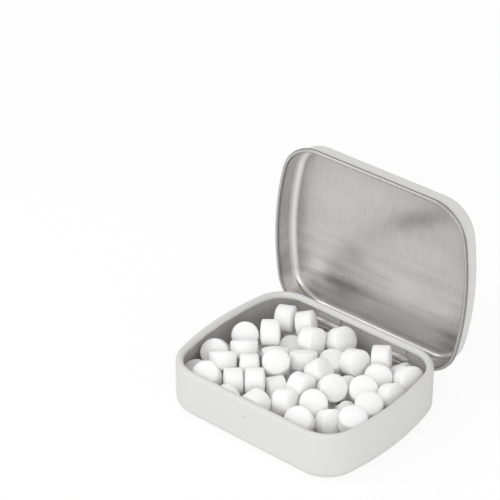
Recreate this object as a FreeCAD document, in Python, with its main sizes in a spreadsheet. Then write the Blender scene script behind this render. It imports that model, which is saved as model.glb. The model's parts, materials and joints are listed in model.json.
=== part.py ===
import FreeCAD, Part
import math
import os
import random
import Sketcher
from FreeCAD import Placement, Rotation, Vector

# A small hinged tin of drawn tinplate, open, with a heap of pressed mints in its base.
# +X runs along the tin's length, -Y is its front, +Y its hinge side and +Z is up.
# The origin is the centre of the base's underside.

doc = FreeCAD.newDocument("MintTin")

# Driving dimensions, in millimetres and degrees
sizes = {
    "lid_length": 60.0,
    "lid_width": 48.2,
    "lid_depth": 6.4,
    "lid_shoulder": 1.8,
    "lid_curl": 0.8,
    "lid_tail": 0.15,
    "bow_radius": 78.0,
    "corner_radius": 10.8,
    "sheet": 0.25,
    "fit_gap": 1.25,
    "base_height": 13.2,
    "base_bend": 2.5,
    "rim_curl": 1.9,
    "rim_tail": 0.3,
    "hinge_height": 7.3,
    "hinge_setback": 0.25,
    "hinge_spacing_share": 0.345,
    "hinge_clearance": 0.06,
    "rim_lift": 0.1,
    "open_angle": 93.0,
    "knuckle_width": 7.6,
    "knuckle_mouth_angle": 50.0,
    "strap_proud": 0.2,
    "side_clearance": 0.3,
    "window_clearance": 0.25,
    "window_corner": 0.5,
    "bar_anchor": 0.5,
    "lip_radius": 0.3,
    "flat_rise": 0.12,
    "flat_gap": 0.4,
    "catch_level": 9.3,
    "pip_radius": 0.85,
    "pip_rise": 0.3,
    "dent_radius": 2.2,
    "dent_rise": 0.22,
    "dent_level": 10.2,
    "mint_diameter": 7.0,
    "mint_thickness": 5.2,
    "mint_band": 3.6,
    "mint_edge": 0.3,
    "mint_clearance": 0.1,
    "bottom_lean": 18.0,
    "lid_headroom": 0.35,
    "overrun": 1.0,
}

sheet = doc.addObject("Spreadsheet::Sheet", "Sizes")
for row, (alias, value) in enumerate(sizes.items(), start=1):
    sheet.set(f"A{row}", alias)
    sheet.set(f"B{row}", str(value))
    sheet.setAlias(f"B{row}", alias)
doc.recompute()

# Places and sizes that follow from the driving ones, in further cells of the sheet
derived = {
    "base_back": "lid_width / 2 - fit_gap",
    "base_inner_back": "base_back - sheet",
    "hinge_y": "base_back + hinge_setback",
    "hinge_x": "lid_length * hinge_spacing_share / 2",
    "lid_rim": "hinge_height + rim_lift",
    "lid_top": "lid_rim + lid_depth",
    "strap_back": "lid_width / 2 + strap_proud",
    "knuckle_outer": "strap_back - hinge_y",
    "knuckle_inner": "knuckle_outer - sheet",
    "bar_radius": "knuckle_inner - hinge_clearance",
    "window_width": "knuckle_width + 2 * side_clearance",
    "window_half": "knuckle_outer + window_clearance",
    "window_low": "hinge_height - window_half",
    "window_high": "hinge_height + window_half",
    "bar_length": "window_width + 2 * bar_anchor",
    "notch_width": "bar_length + 2 * side_clearance",
    "notch_high": "lid_rim + lid_curl + lid_tail",
    "flat_high": "base_height - rim_curl / 2 - rim_tail",
    "mint_dome": "( mint_thickness - mint_band ) / 2",
    "mint_ball": "( mint_diameter * mint_diameter / 4 + mint_dome * mint_dome ) / ( 2 * mint_dome )",
}
for row, (alias, formula) in enumerate(derived.items(), start=len(sizes) + 1):
    sheet.set(f"A{row}", alias)
    sheet.set(f"B{row}", f"={formula}")
    sheet.setAlias(f"B{row}", alias)
doc.recompute()


def size(alias):
    return float(sheet.get(alias))


def cell(formula):
    # A formula in the sheet's own words, as an expression that other objects can hold
    words = []
    for word in formula.split():
        bare = word.strip("()")
        known = bare in sizes or bare in derived
        words.append(word.replace(bare, f"Sizes.{bare}") if known else word)
    return " ".join(words)


def sketch_on(body, name, role, shift=None, rise=None):
    # A sketch on one of a body's own planes, moved along its normal or up its second axis
    sketch = body.newObject("Sketcher::SketchObject", name)
    plane = next(p for p in body.Origin.OriginFeatures if p.Role == role)
    sketch.AttachmentSupport = [(plane, "")]
    sketch.MapMode = "FlatFace"
    if shift:
        sketch.setExpression("AttachmentOffset.Base.z", cell(shift))
    if rise:
        sketch.setExpression("AttachmentOffset.Base.y", cell(rise))
    return sketch


def line(start, end):
    return Part.LineSegment(Vector(*start, 0), Vector(*end, 0))


def arc(centre, radius, start, end):
    circle = Part.Circle(Vector(*centre, 0), Vector(0, 0, 1), radius)
    return Part.ArcOfCircle(circle, math.radians(start), math.radians(end))


def fix(sketch, kind, *where, formula):
    # A dimension of a sketch, bound to a formula of the sheet's cells
    number = sketch.addConstraint(Sketcher.Constraint(kind, *where, evaluate(formula)))
    sketch.setExpression(f"Constraints[{number}]", cell(formula))


def evaluate(formula):
    # What a formula of the sheet's cells comes to now
    probe = sheet.evalExpression(formula)
    return float(getattr(probe, "Value", probe))


def tie(sketch, *constraints):
    for constraint in constraints:
        sketch.addConstraint(Sketcher.Constraint(*constraint))


def pad(body, name, sketch, length, reverse=False, kind="PartDesign::Pad"):
    feature = body.newObject(kind, name)
    feature.Profile = sketch
    feature.setExpression("Length", cell(length))
    feature.Reversed = reverse
    doc.recompute()
    return feature


def rectangle(sketch, left, right, low, high):
    x_left, x_right, y_low, y_high = (evaluate(f) for f in (left, right, low, high))
    corners = [(x_left, y_low), (x_right, y_low), (x_right, y_high), (x_left, y_high)]
    for here, there in zip(corners, corners[1:] + corners[:1]):
        sketch.addGeometry(line(here, there), False)
    for side in range(4):
        tie(sketch, ("Coincident", side, 2, (side + 1) % 4, 1))
    tie(sketch, ("Horizontal", 0), ("Vertical", 1), ("Horizontal", 2), ("Vertical", 3))
    fix(sketch, "DistanceX", -1, 1, 0, 1, formula=left)
    fix(sketch, "DistanceX", -1, 1, 1, 1, formula=right)
    fix(sketch, "DistanceY", -1, 1, 0, 1, formula=low)
    fix(sketch, "DistanceY", -1, 1, 2, 1, formula=high)


def rounded_rectangle(sketch, left, right, low, high, corner):
    x_left, x_right, y_low, y_high = (evaluate(f) for f in (left, right, low, high))
    r = evaluate(corner)
    sketch.addGeometry([
        line((x_left + r, y_low), (x_right - r, y_low)),
        arc((x_right - r, y_low + r), r, -90, 0),
        line((x_right, y_low + r), (x_right, y_high - r)),
        arc((x_right - r, y_high - r), r, 0, 90),
        line((x_right - r, y_high), (x_left + r, y_high)),
        arc((x_left + r, y_high - r), r, 90, 180),
        line((x_left, y_high - r), (x_left, y_low + r)),
        arc((x_left + r, y_low + r), r, 180, 270),
    ], False)
    for edge in range(8):
        tie(sketch, ("Tangent", edge, 2, (edge + 1) % 8, 1))
    tie(sketch, ("Horizontal", 0), ("Equal", 1, 3), ("Equal", 1, 5), ("Equal", 1, 7))
    fix(sketch, "Radius", 1, formula=corner)
    fix(sketch, "DistanceX", -1, 1, 6, 1, formula=left)
    fix(sketch, "DistanceX", -1, 1, 2, 1, formula=right)
    fix(sketch, "DistanceY", -1, 1, 0, 1, formula=low)
    fix(sketch, "DistanceY", -1, 1, 4, 1, formula=high)


def plan(body, name, inset, level):
    # The tin's outline from above, brought in by an inset: straight long sides, bowed short
    # sides and round corners, starting at the middle of the front
    sketch = sketch_on(body, name, "XY_Plane", shift=level)
    half_width = evaluate(f"lid_width / 2 - ({inset})")
    bow = evaluate(f"bow_radius - ({inset})")
    corner = evaluate(f"corner_radius - ({inset})")
    bow_x = evaluate("lid_length / 2 - bow_radius")
    corner_y = half_width - corner
    corner_x = bow_x + math.sqrt((bow - corner) ** 2 - corner_y ** 2)
    turn = math.degrees(math.atan2(corner_y, corner_x - bow_x))
    sketch.addGeometry([
        line((0, -half_width), (corner_x, -half_width)),
        arc((corner_x, -corner_y), corner, -90, -turn),
        arc((bow_x, 0), bow, -turn, turn),
        arc((corner_x, corner_y), corner, turn, 90),
        line((corner_x, half_width), (-corner_x, half_width)),
        arc((-corner_x, corner_y), corner, 90, 180 - turn),
        arc((-bow_x, 0), bow, 180 - turn, 180 + turn),
        arc((-corner_x, -corner_y), corner, 180 + turn, 270),
        line((-corner_x, -half_width), (0, -half_width)),
    ], False)
    for edge in range(8):
        tie(sketch, ("Tangent", edge, 2, edge + 1, 1))
    tie(sketch, ("Coincident", 8, 2, 0, 1), ("PointOnObject", 0, 1, -2))
    tie(sketch, ("Horizontal", 0), ("Horizontal", 4), ("Horizontal", 8))
    tie(sketch, ("Equal", 1, 3), ("Equal", 1, 5), ("Equal", 1, 7), ("Equal", 2, 6))
    tie(sketch, ("PointOnObject", 2, 3, -1), ("PointOnObject", 6, 3, -1))
    fix(sketch, "Radius", 1, formula=f"corner_radius - ( {inset} )")
    fix(sketch, "Radius", 2, formula=f"bow_radius - ( {inset} )")
    fix(sketch, "DistanceX", 2, 3, -1, 1, formula="bow_radius - lid_length / 2")
    fix(sketch, "DistanceX", -1, 1, 6, 3, formula="bow_radius - lid_length / 2")
    fix(sketch, "DistanceY", 0, 1, -1, 1, formula=f"lid_width / 2 - ( {inset} )")
    fix(sketch, "DistanceY", -1, 1, 4, 1, formula=f"lid_width / 2 - ( {inset} )")
    return sketch


def wall_section(body, name, face, flat, bend, curl_level, curl, tail, upright):
    # The drawn wall's section at the middle of the front: the bend out of the flat panel, the
    # wall, and the edge rolled inwards. Upright has the panel below and the roll on top.
    sketch = sketch_on(body, name, "YZ_Plane")
    y, z_flat, z_curl = -evaluate(face), evaluate(flat), evaluate(curl_level)
    r_bend, r_curl, drop, wall = evaluate(bend), evaluate(curl) / 2, evaluate(tail), size("sheet")
    up = 1 if upright else -1
    bend_centre = (y + r_bend, z_flat + up * r_bend)
    curl_centre = (y + r_curl, z_curl)
    inner, outer = y + 2 * r_curl, y + 2 * r_curl - wall
    bend_span = (180, 270) if upright else (90, 180)
    curl_span = (0, 180) if upright else (180, 360)
    z_tail = z_curl - up * drop
    sketch.addGeometry([
        arc(bend_centre, r_bend, *bend_span),
        line((y + r_bend, z_flat), (y + r_bend, z_flat + up * wall)),
        arc(bend_centre, r_bend - wall, *bend_span),
        line((y + wall, bend_centre[1]), (y + wall, z_curl)),
        arc(curl_centre, r_curl - wall, *curl_span),
        line((outer, z_curl), (outer, z_tail)),
        line((outer, z_tail), (inner, z_tail)),
        line((inner, z_tail), (inner, z_curl)),
        arc(curl_centre, r_curl, *curl_span),
        line((y, z_curl), (y, bend_centre[1])),
    ], False)
    # Which end of each arc meets the wall, and which the panel or the roll's inner side
    bend_wall, bend_flat = (1, 2) if upright else (2, 1)
    curl_wall, curl_inner = (2, 1) if upright else (1, 2)
    tie(sketch, ("Tangent", 9, 2, 0, bend_wall), ("Tangent", 3, 1, 2, bend_wall))
    tie(sketch, ("Coincident", 0, bend_flat, 1, 1), ("Coincident", 1, 2, 2, bend_flat))
    tie(sketch, ("Coincident", 0, 3, 2, 3), ("Coincident", 4, 3, 8, 3))
    tie(sketch, ("Tangent", 3, 2, 4, curl_wall), ("Tangent", 9, 1, 8, curl_wall))
    tie(sketch, ("Tangent", 5, 1, 4, curl_inner), ("Tangent", 7, 2, 8, curl_inner))
    tie(sketch, ("Coincident", 5, 2, 6, 1), ("Coincident", 6, 2, 7, 1))
    tie(sketch, ("Vertical", 1), ("Vertical", 5), ("Vertical", 7), ("Vertical", 9))
    tie(sketch, ("Horizontal", 6), ("Vertical", 0, 3, 1, 1))
    fix(sketch, "Radius", 0, formula=bend)
    fix(sketch, "Radius", 2, formula=f"{bend} - sheet")
    fix(sketch, "Radius", 8, formula=f"{curl} / 2")
    fix(sketch, "Radius", 4, formula=f"{curl} / 2 - sheet")
    fix(sketch, "DistanceX", 9, 1, -1, 1, formula=face)
    fix(sketch, "DistanceY", -1, 1, 8, 3, formula=curl_level)
    if upright:
        tie(sketch, ("PointOnObject", 1, 1, -1))
        fix(sketch, "DistanceY", 7, 1, 7, 2, formula=tail)
    else:
        fix(sketch, "DistanceY", -1, 1, 1, 1, formula=flat)
        fix(sketch, "DistanceY", 7, 2, 7, 1, formula=tail)
    return sketch


def drawn_shell(body, inset, face, flat, bend, curl_level, curl, tail, upright):
    # A shallow drawn tray: its wall section carried round the plan, and the panel inside that
    path = plan(body, f"{body.Name}_path", inset, curl_level)
    section = wall_section(body, f"{body.Name}_section", face, flat, bend, curl_level, curl, tail, upright)
    doc.recompute()
    wall = body.newObject("PartDesign::AdditivePipe", f"{body.Name}_wall")
    wall.Profile = section
    wall.Spine = (path, [f"Edge{number + 1}" for number in range(len(path.Shape.Edges))])
    wall.Mode = "Standard"
    doc.recompute()
    panel = plan(body, f"{body.Name}_panel_plan", f"{inset} + {bend}", flat)
    pad(body, f"{body.Name}_panel", panel, "sheet", reverse=not upright)


def dome(body, name, face, level, radius, rise):
    # A round dome pressed out of the front wall, raised outside and hollow inside
    faces = (("raised", "0", "PartDesign::Revolution"), ("hollow", "sheet", "PartDesign::Groove"))
    for side, step, kind in faces:
        sketch = sketch_on(body, f"{name}_{side}_sketch", "YZ_Plane", rise=level)
        y_foot = -evaluate(f"{face} - sheet")
        tall = evaluate(f"{rise} + sheet - {step}")
        wide = evaluate(f"{radius} - {step} / 2")
        ball = (wide ** 2 + tall ** 2) / (2 * tall)
        spread = math.degrees(math.asin(wide / ball))
        sketch.addGeometry([
            line((y_foot, 0), (y_foot - tall, 0)),
            arc((y_foot - tall + ball, 0), ball, 180 - spread, 180),
            line((y_foot, wide), (y_foot, 0)),
        ], False)
        tie(sketch, ("Coincident", 0, 2, 1, 2), ("Coincident", 1, 1, 2, 1), ("Coincident", 2, 2, 0, 1))
        tie(sketch, ("PointOnObject", 0, 1, -1), ("PointOnObject", 0, 2, -1), ("Vertical", 2))
        tie(sketch, ("PointOnObject", 1, 3, -1))
        fix(sketch, "DistanceX", 0, 1, -1, 1, formula=f"{face} - sheet")
        fix(sketch, "DistanceX", 0, 2, 0, 1, formula=f"{rise} + sheet - {step}")
        fix(sketch, "DistanceY", 2, 2, 2, 1, formula=f"{radius} - {step} / 2")
        turned = body.newObject(kind, f"{name}_{side}")
        turned.Profile = sketch
        turned.ReferenceAxis = (sketch, ["H_Axis"])
        turned.Angle = 360
        doc.recompute()


def mirrored(body, name, features):
    # The same features again on the other side of the tin's middle
    mirror = body.newObject("PartDesign::Mirrored", name)
    mirror.Originals = features
    plane = next(p for p in body.Origin.OriginFeatures if p.Role == "YZ_Plane")
    mirror.MirrorPlane = (plane, [""])
    body.Tip = mirror
    doc.recompute()


def base_shell():
    body = doc.addObject("PartDesign::Body", "base_shell")
    drawn_shell(body, "fit_gap", "base_back", "0", "base_bend",
                "base_height - rim_curl / 2", "rim_curl", "rim_tail", True)
    dome(body, "catch_pip", "base_back", "catch_level", "pip_radius", "pip_rise")

    # The hinge window in the back wall
    opening = sketch_on(body, "window_sketch", "XZ_Plane")
    rounded_rectangle(opening, "hinge_x - window_width / 2", "hinge_x + window_width / 2",
                      "window_low", "window_high", "window_corner")
    window = pad(body, "window", opening, "lid_width / 2", kind="PartDesign::Pocket")

    # The strip left across the window, rolled into a hollow bar
    ring = sketch_on(body, "bar_sketch", "YZ_Plane", shift="hinge_x - bar_length / 2")
    centre = Vector(size("hinge_y"), size("hinge_height"), 0)
    for radius in ("bar_radius", "bar_radius - sheet"):
        number = ring.addGeometry(Part.Circle(centre, Vector(0, 0, 1), evaluate(radius)), False)
        fix(ring, "Radius", number, formula=radius)
    tie(ring, ("Coincident", 0, 3, 1, 3))
    fix(ring, "DistanceX", -1, 1, 0, 3, formula="hinge_y")
    fix(ring, "DistanceY", -1, 1, 0, 3, formula="hinge_height")
    bar = pad(body, "bar", ring, "bar_length")

    # The window's lower edge, turned in to a round lip
    round_lip = sketch_on(body, "lip_sketch", "YZ_Plane", shift="hinge_x - window_width / 2")
    centre = Vector(size("base_inner_back"), evaluate("window_low - lip_radius / 2"), 0)
    round_lip.addGeometry(Part.Circle(centre, Vector(0, 0, 1), size("lip_radius")), False)
    fix(round_lip, "Radius", 0, formula="lip_radius")
    fix(round_lip, "DistanceX", -1, 1, 0, 3, formula="base_inner_back")
    fix(round_lip, "DistanceY", -1, 1, 0, 3, formula="window_low - lip_radius / 2")
    lip = pad(body, "lip", round_lip, "window_width")

    # The flat pressed in above the window
    face = sketch_on(body, "flat_sketch", "XZ_Plane", shift="0 - base_back")
    rectangle(face, "hinge_x - window_width / 2", "hinge_x + window_width / 2",
              "window_high + flat_gap", "flat_high")
    flat = pad(body, "flat", face, "sheet + flat_rise")
    mirrored(body, "left_hinge", [window, bar, lip, flat])
    return body


def lid_shell():
    body = doc.addObject("PartDesign::Body", "lid_shell")
    drawn_shell(body, "0", "lid_width / 2", "lid_top", "lid_shoulder",
                "lid_rim + lid_curl / 2", "lid_curl", "lid_tail", False)
    dome(body, "catch_dent", "lid_width / 2", "dent_level", "dent_radius", "dent_rise")

    # Where the rolled edge stops to let the hinge strap through
    gap = sketch_on(body, "notch_sketch", "XY_Plane", shift="lid_rim - overrun")
    rectangle(gap, "hinge_x - notch_width / 2", "hinge_x + notch_width / 2",
              "lid_width / 2 - lid_curl - overrun", "lid_width / 2 + overrun")
    notch = pad(body, "notch", gap, "notch_high - lid_rim + overrun",
                reverse=True, kind="PartDesign::Pocket")

    # The strap on the outside of the skirt
    strip = sketch_on(body, "strap_sketch", "XY_Plane", shift="hinge_height")
    rectangle(strip, "hinge_x - knuckle_width / 2", "hinge_x + knuckle_width / 2",
              "strap_back - sheet", "strap_back")
    strap = pad(body, "strap", strip, "lid_top - lid_shoulder - hinge_height")

    # The strap's end, rolled round the bar into a knuckle
    roll = sketch_on(body, "knuckle_sketch", "YZ_Plane", shift="hinge_x - knuckle_width / 2")
    y, z = size("hinge_y"), size("hinge_height")
    outer, inner, mouth = size("knuckle_outer"), size("knuckle_inner"), size("knuckle_mouth_angle")
    lean = Vector(math.cos(math.radians(mouth)), math.sin(math.radians(mouth)), 0)
    lip_inner, lip_outer = Vector(y, z, 0) + lean * inner, Vector(y, z, 0) + lean * outer
    roll.addGeometry([
        arc((y, z), outer, mouth, 360),
        line((y + outer, z), (y + inner, z)),
        arc((y, z), inner, mouth, 360),
        line((lip_inner.x, lip_inner.y), (lip_outer.x, lip_outer.y)),
    ], False)
    tie(roll, ("Coincident", 0, 2, 1, 1), ("Coincident", 1, 2, 2, 2))
    tie(roll, ("Coincident", 2, 1, 3, 1), ("Coincident", 3, 2, 0, 1), ("Coincident", 0, 3, 2, 3))
    tie(roll, ("Horizontal", 1), ("Horizontal", 0, 3, 1, 1), ("PointOnObject", 0, 3, 3))
    fix(roll, "Radius", 0, formula="knuckle_outer")
    fix(roll, "Radius", 2, formula="knuckle_inner")
    fix(roll, "DistanceX", -1, 1, 0, 3, formula="hinge_y")
    fix(roll, "DistanceY", -1, 1, 0, 3, formula="hinge_height")
    number = roll.addConstraint(Sketcher.Constraint("Angle", 3, math.radians(mouth)))
    roll.setExpression(f"Constraints[{number}]", "Sizes.knuckle_mouth_angle * 1 deg")
    knuckle = pad(body, "knuckle", roll, "knuckle_width")
    mirrored(body, "left_tab", [notch, strap, knuckle])

    # Drawn closed, then swung open about the hinge bars
    hinge = Vector(0, size("hinge_y"), size("hinge_height"))
    swing = Rotation(Vector(1, 0, 0), -size("open_angle"))
    body.Placement = Placement(Vector(0, 0, 0), swing, hinge)
    return body


def mint_form():
    # One pressed mint about its own centre: a round band between two shallow domes
    body = doc.addObject("PartDesign::Body", "mint_form")
    sketch = sketch_on(body, "mint_sketch", "XZ_Plane")
    radius, half, band = size("mint_diameter") / 2, size("mint_thickness") / 2, size("mint_band") / 2
    ball = size("mint_ball")
    spread = math.degrees(math.asin(radius / ball))
    sketch.addGeometry([
        line((0, -half), (0, half)),
        arc((0, half - ball), ball, 90 - spread, 90),
        line((radius, band), (radius, -band)),
        arc((0, ball - half), ball, 270, 270 + spread),
    ], False)
    tie(sketch, ("Coincident", 0, 2, 1, 2), ("Coincident", 1, 1, 2, 1))
    tie(sketch, ("Coincident", 2, 2, 3, 2), ("Coincident", 3, 1, 0, 1))
    tie(sketch, ("PointOnObject", 0, 1, -2), ("PointOnObject", 0, 2, -2), ("Vertical", 2))
    tie(sketch, ("PointOnObject", 1, 3, -2), ("PointOnObject", 3, 3, -2))
    fix(sketch, "DistanceY", 0, 1, -1, 1, formula="mint_thickness / 2")
    fix(sketch, "DistanceY", -1, 1, 0, 2, formula="mint_thickness / 2")
    fix(sketch, "DistanceX", -1, 1, 2, 1, formula="mint_diameter / 2")
    fix(sketch, "DistanceY", -1, 1, 2, 1, formula="mint_band / 2")
    fix(sketch, "DistanceY", 2, 2, -1, 1, formula="mint_band / 2")
    turned = body.newObject("PartDesign::Revolution", "mint_turned")
    turned.Profile = sketch
    turned.ReferenceAxis = (sketch, ["V_Axis"])
    turned.Angle = 360
    doc.recompute()
    edges = [f"Edge{number}" for number, edge in enumerate(turned.Shape.Edges, start=1)
             if edge.isClosed() and edge.BoundBox.ZLength < size("mint_edge")]
    softened = body.newObject("PartDesign::Fillet", "mint_softened")
    softened.Base = (turned, edges)
    softened.setExpression("Radius", cell("mint_edge"))
    doc.recompute()
    return body


# How the heap is worked out: counts of steps, shares, and two angles in degrees. The heap share is
# how much of the shut tin the mints fill. A pull draws each top mint to its place, loosely along
# one slanting line, and a push parts two that overlap. The held share is how far a top mint gives
# way to one of the bottom layer, and the firm share how freely it leaves that line to do so.
bow_steps = 4
corner_steps = 6
bend_steps = 4
search_steps = 4
search_share = 0.6
sweeps = 1600
sinking_sweeps = 100
pulling_sweeps = 800
list_every = 5
sink_share = 0.012
pull_share = 0.3
loose_share = 0.04
push_share = 1.3
held_share = 0.3
firm_share = 0.5
even_share = 0.5
line_heading = -49.7
line_rise = 32.4
enough_share = 0.6
heap_share = 0.3
spiral_share = 0.88
chance_seed = 7

mint_radius = size("mint_diameter") / 2
band_half = size("mint_band") / 2
dome_ball = size("mint_ball")
dome_depth = dome_ball - size("mint_thickness") / 2
dome_share = mint_radius / dome_ball
mint_far = math.hypot(mint_radius, band_half)


class Mint:
    # Where a mint's centre is, which way its axis points and the place it is drawn to, if any
    def __init__(self, centre, tilt, heading, home=None):
        out = math.sin(math.radians(tilt))
        turn = math.radians(heading)
        self.centre = centre
        self.axis = Vector(out * math.cos(turn), out * math.sin(turn), math.cos(math.radians(tilt)))
        self.home = home


# Mints on top of the heap: their places as shares of the tray's half length, half width and
# height, then how far each axis leans from upright and which way, in degrees from the tin's length
top_mint_shares = [
    (-0.87, 0.23, 0.58, 56, -50), (-0.65, 0.36, 0.61, 90, 40), (-0.67, 0.71, 0.67, 85, 20),
    (-0.88, -0.27, 0.57, 56, -60), (-0.68, -0.43, 0.62, 32, 130), (-0.87, -0.54, 0.40, 30, -80),
    (-0.59, -0.73, 0.62, 35, -80), (-0.60, -0.03, 0.60, 30, 130), (-0.44, -0.32, 0.63, 90, 40),
    (-0.41, -0.59, 0.62, 90, 45), (-0.25, -0.50, 0.63, 90, 40), (-0.10, -0.37, 0.63, 90, 55),
    (0.01, -0.15, 0.67, 85, 0), (-0.24, -0.08, 0.67, 30, -50), (-0.43, 0.13, 0.58, 25, 130),
    (-0.46, 0.46, 0.52, 20, -50), (-0.40, 0.80, 0.64, 75, 30), (-0.28, 0.56, 0.71, 75, 0),
    (-0.12, 0.26, 0.68, 25, 130), (0.09, 0.40, 0.62, 12, -50), (0.08, 0.12, 0.58, 50, 20),
    (-0.05, 0.72, 0.66, 55, -10), (-0.22, 0.84, 0.50, 60, 60), (0.23, 0.54, 0.67, 70, -10),
    (0.31, 0.80, 0.66, 85, 30), (0.51, 0.49, 0.67, 62, -50), (0.69, 0.66, 0.66, 60, -15),
    (0.63, 0.84, 0.52, 60, 20), (0.73, 0.31, 0.60, 60, -5), (0.53, 0.14, 0.66, 40, -45),
    (0.70, 0.03, 0.60, 20, -50), (0.83, -0.22, 0.55, 15, -50), (0.31, -0.03, 0.66, 50, -30),
    (0.35, -0.35, 0.70, 57, -50), (0.39, -0.62, 0.60, 40, -70), (0.60, -0.43, 0.64, 60, -15),
    (0.14, -0.52, 0.66, 75, 15), (-0.07, -0.66, 0.58, 45, -10), (0.53, -0.14, 0.50, 40, 0),
    (0.29, 0.28, 0.50, 50, -20), (-0.31, -0.88, 0.60, 90, 90), (-0.06, -0.88, 0.60, 90, 90),
]


def outline_turn():
    # The heading, in degrees, where a bowed side passes into a corner
    corner_y = size("lid_width") / 2 - size("corner_radius")
    return math.degrees(math.asin(corner_y / (size("bow_radius") - size("corner_radius"))))


def level_ways():
    # Unit directions square to the outline: close together over the bowed sides, where a small
    # turn covers a long way, and wider over the corners
    turn = outline_turn()
    quarter = [turn * step / bow_steps for step in range(bow_steps)]
    quarter += [turn + (90 - turn) * step / corner_steps for step in range(corner_steps + 1)]
    ways = []
    for heading in quarter:
        along, across = math.cos(math.radians(heading)), math.sin(math.radians(heading))
        ways += [Vector(along, across, 0), Vector(along, -across, 0)]
        ways += [Vector(-along, across, 0), Vector(-along, -across, 0)]
    return ways


def tray_limits():
    # Directions out of the tray's inside, each with how far a mint may reach that way: level to
    # the wall, down across the bend at its foot, to the floor, to the hinge and to the shut lid
    inset = size("fit_gap") + size("sheet") + size("mint_clearance")
    bend = size("base_bend") - size("sheet") - size("mint_clearance")
    floor = size("sheet") + size("mint_clearance")
    limits = [
        (Vector(0, 0, -1), -floor),
        (Vector(0, 0, 1), size("lid_top") - size("sheet") - size("lid_headroom")),
        (Vector(0, 1, 0), size("hinge_y") - size("knuckle_outer") - size("side_clearance")),
    ]
    for way in level_ways():
        for step in range(bend_steps):
            drop = math.pi / 2 * step / bend_steps
            level, down = math.cos(drop), math.sin(drop)
            reach = level * outline_reach(way, inset + bend) + bend - down * (floor + bend)
            limits.append((way * level - Vector(0, 0, down), reach))
    return limits


def rim_limits():
    # The same for a mint that stands high enough to meet the rolled rim
    inset = size("fit_gap") + size("rim_curl") + size("mint_clearance")
    return [(way, outline_reach(way, inset)) for way in level_ways()]


def outline_reach(way, inset):
    # How far the tin's outline, brought in by an inset, reaches in a level direction
    bow_x = size("lid_length") / 2 - size("bow_radius")
    bow, corner = size("bow_radius") - inset, size("corner_radius") - inset
    turn = math.radians(outline_turn())
    along, across = abs(way.x), abs(way.y)
    if math.atan2(across, along) < turn:
        return along * bow_x + bow
    corner_x, corner_y = bow_x + (bow - corner) * math.cos(turn), (bow - corner) * math.sin(turn)
    return along * corner_x + across * corner_y + corner


def mint_reach(way, axis):
    # The point of a mint, from its centre, that lies furthest in a direction
    along = way.dot(axis)
    side = way - axis * along
    across = side.Length
    if across < dome_share:
        return way * dome_ball - axis * math.copysign(dome_depth, along)
    return side * (mint_radius / across) + axis * math.copysign(band_half, along)


def clear_way(first, second, way):
    # The direction in which two mints lie furthest apart, and the gap between them that way
    between = second.centre - first.centre
    stride = search_share / between.Length
    for _ in range(search_steps):
        rest = between - mint_reach(way, first.axis) - mint_reach(way, second.axis)
        gap = rest.dot(way)
        way = way + (rest - way * gap) * stride
        way.normalize()
    rest = between - mint_reach(way, first.axis) - mint_reach(way, second.axis)
    return way, rest.dot(way)


def hold(mint, limits):
    # Bring a mint back where it has passed one of the limits, and say by how much it had
    furthest = 0
    for way, limit in limits:
        place = mint.centre.dot(way)
        if place + mint_far > limit:
            over = place + mint_reach(way, mint.axis).dot(way) - limit
            if over > 0:
                mint.centre = mint.centre - way * over
                furthest = max(furthest, over)
    return furthest


def slant():
    # The line along which the top mints shift most freely: up towards the front on the right
    heading, rise = math.radians(line_heading), math.radians(line_rise)
    level = Vector(math.cos(heading), math.sin(heading), 0) * math.cos(rise)
    return level + Vector(0, 0, math.sin(rise))


def make_way(mint, way, free):
    # The move that takes a mint one unit in a direction, for a top mint mostly along its line
    if mint.home is None:
        return way
    move = way * firm_share + free * (way.dot(free) * (1 - firm_share))
    return move * (1 / move.dot(way))


def part_ways(first, second, way, need, free):
    # Move two mints apart: alike if they are of one layer, else the bottom one further
    give = even_share
    if bool(first.home) != bool(second.home):
        give = held_share if first.home else 1 - held_share
    first.centre = first.centre - make_way(first, way, free) * (need * give)
    second.centre = second.centre + make_way(second, way, free) * (need * (1 - give))


def draw_home(mint, sweep, free):
    # Draw a top mint towards its place, less and less, and loosely along its line
    away = mint.home - mint.centre
    deep = free * away.dot(free)
    ease = 1 - sweep / pulling_sweeps
    mint.centre = mint.centre + ((away - deep) * pull_share + deep * loose_share) * ease


def settle(mints):
    # Let the heap sink and push apart what overlaps until every mint has its clearance
    tray, rim = tray_limits(), rim_limits()
    rim_low = size("flat_high") - size("mint_clearance")
    up, free = Vector(0, 0, 1), slant()
    clearance = size("mint_clearance")
    ways = {}
    near = []
    for sweep in range(sweeps):
        sink = size("mint_thickness") * sink_share if sweep < sinking_sweeps else 0
        if sweep % list_every == 0:
            near = [(a, b) for a in range(len(mints)) for b in range(a)
                    if (mints[a].centre - mints[b].centre).Length < 2 * mint_far + clearance]
        for mint in mints:
            mint.centre = mint.centre - up * sink
            if mint.home and sweep < pulling_sweeps:
                draw_home(mint, sweep, free)
        tightest = clearance
        for a, b in near:
            first, second = mints[a], mints[b]
            way = ways.get((a, b))
            if way is None:
                way = (second.centre - first.centre).normalize()
            way, gap = clear_way(first, second, way)
            ways[(a, b)] = way
            tightest = min(tightest, gap)
            if gap < clearance:
                part_ways(first, second, way, (clearance - gap) * push_share, free)
        for mint in mints:
            if mint.centre.z + mint_reach(up, mint.axis).z > rim_low:
                tightest = min(tightest, clearance - hold(mint, rim))
            tightest = min(tightest, clearance - hold(mint, tray))
        if sweep > pulling_sweeps and tightest > clearance * enough_share:
            break


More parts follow.
